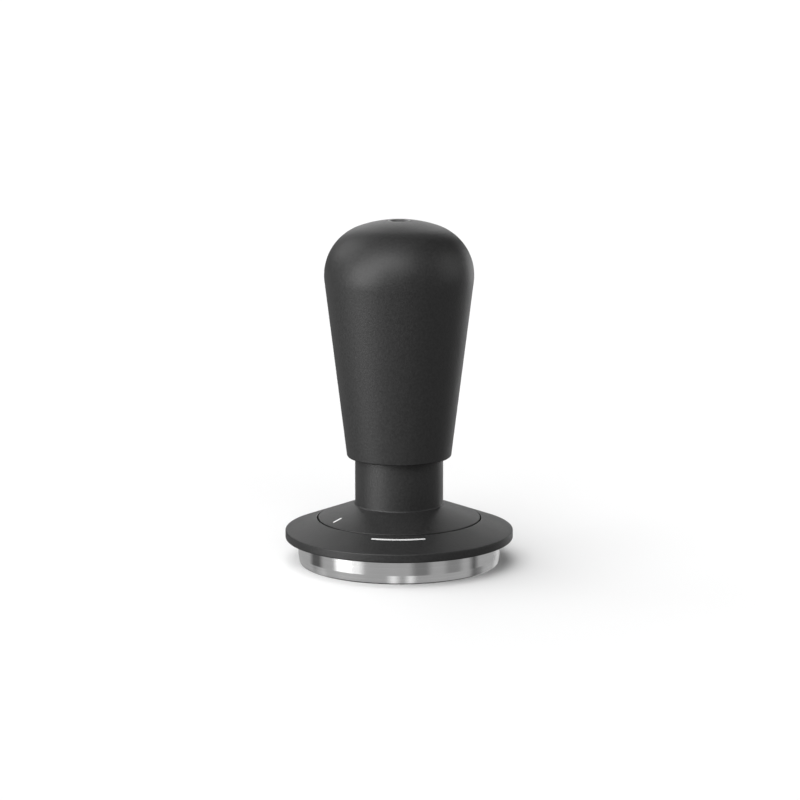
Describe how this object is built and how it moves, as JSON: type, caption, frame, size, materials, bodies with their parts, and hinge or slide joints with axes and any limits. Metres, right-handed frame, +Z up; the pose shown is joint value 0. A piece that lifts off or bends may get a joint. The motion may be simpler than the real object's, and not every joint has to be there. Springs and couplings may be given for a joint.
{
  "type": "espresso tamper",
  "caption": "Hand tamper for ground coffee: steel piston, spring-loaded pear-shaped handle, self-levelling neck and a threaded rim ring that sets the depth.",
  "frame": {"origin": "centre of the tamping face", "axes": "+Z up along the axis to the crown, -Y is the side with the index bar"},
  "size_m": [0.066, 0.066, 0.0998],
  "materials": {
    "steel_polished": "fine turned, satin",
    "steel_inner": "machined",
    "spring_steel": "drawn wire, oiled",
    "black_coat": "black anodised, matt, fine-grained",
    "mark_white": "filled paint",
    "bearing_bronze": "sintered bronze",
    "rubber_black": "moulded",
    "damper_grey": "moulded",
    "washer_ivory": "moulded",
    "screw_dark": "dark zinc"
  },
  "bodies": {
    "piston": {"tamp_base": "steel_polished", "stem": "steel_inner", "stop_washer": "damper_grey", "return_spring_seat": "steel_inner", "seat_circlip": "steel_inner", "thrust_collar": "steel_inner", "collar_nut": "steel_inner", "main_spring": "spring_steel", "return_spring": "spring_steel"},
    "leveller": {"neck_collar": "black_coat", "neck_bush": "bearing_bronze", "tick_mark": "mark_white", "stop_pin": "steel_inner", "friction_o_ring": "rubber_black"},
    "ring_washer": {"ring_thrust_washer": "washer_ivory"},
    "ring": {"depth_ring": "black_coat", "index_bar": "mark_white"},
    "handle": {"handle_shell": "black_coat", "guide_sleeve": "bearing_bronze", "bump_ring": "damper_grey"},
    "preload_seat": {"upper_spring_seat": "steel_inner"},
    "crown_screw": {"preload_screw": "screw_dark"}
  },
  "joints": [
    {"name": "leveller_slide", "type": "slide", "parent": "piston", "child": "leveller", "axis": [0, 0, 1], "range_m": [0, 0.005], "stiffness_N_per_m": 900, "springref_m": -0.012, "deforming": ["return_spring"]},
    {"name": "ring_travel", "type": "slide", "parent": "leveller", "child": "ring_washer", "axis": [0, 0, 1], "range_m": [-0.001, 0]},
    {"name": "ring_turn", "type": "hinge", "parent": "ring_washer", "child": "ring", "pos_m": [0, 0, 0.0095], "axis": [0, 0, 1], "range_deg": [-180, 0]},
    {"name": "handle_press", "type": "slide", "parent": "piston", "child": "handle", "axis": [0, 0, -1], "range_m": [0, 0.006], "stiffness_N_per_m": 12000, "springref_m": -0.006, "deforming": ["main_spring"]},
    {"name": "preload_travel", "type": "slide", "parent": "handle", "child": "preload_seat", "axis": [0, 0, -1], "range_m": [0, 0.003], "deforming": ["main_spring"]},
    {"name": "preload_turn", "type": "hinge", "parent": "preload_seat", "child": "crown_screw", "pos_m": [0, 0, 0.095], "axis": [0, 0, 1], "range_deg": [-1080, 0]}
  ],
  "couplings": [
    {"joint": "ring_travel", "follows": "ring_turn", "m_per_rad": 0.00031831},
    {"joint": "preload_turn", "follows": "preload_travel", "rad_per_m": -6283.2}
  ]
}
